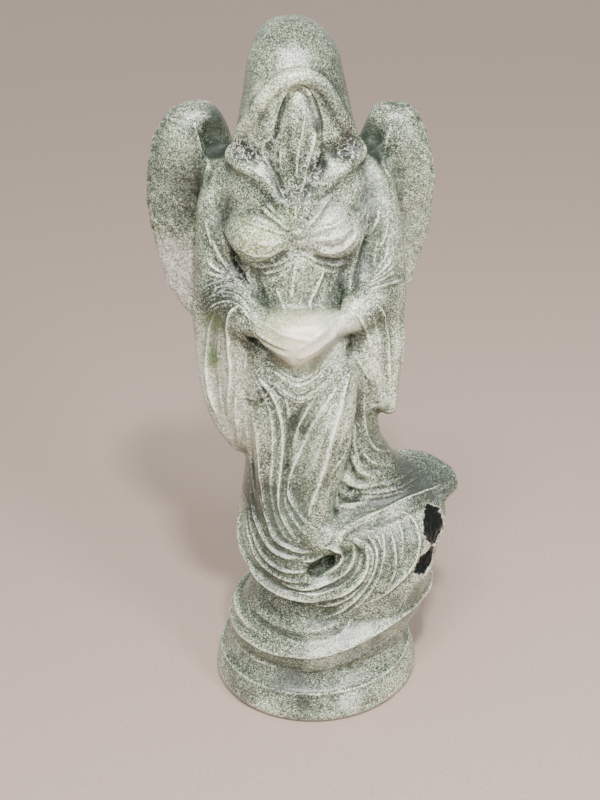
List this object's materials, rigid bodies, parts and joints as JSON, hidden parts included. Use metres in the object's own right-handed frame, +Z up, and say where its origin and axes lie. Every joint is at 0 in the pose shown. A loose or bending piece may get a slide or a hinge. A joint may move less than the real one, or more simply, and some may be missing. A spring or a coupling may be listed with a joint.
{
  "type": "jade winged goddess figurine",
  "caption": "Carved grey-green jade figurine of a hooded, winged goddess with long hanging sleeves, standing in swirling drapery on a turned round foot.",
  "frame": {"origin": "centre of the round foot's underside", "axes": "+Z up along the figure's height, the figure facing -Y, +X to the viewer's right"},
  "size_m": [0.0814, 0.0604, 0.1876],
  "materials": {
    "jade": "polished mottled grey-green stone, whitish on the hands and one wing, with a broken black inclusion at one side"
  },
  "bodies": {
    "root": {"goddess_figurine": "jade"}
  },
  "joints": []
}
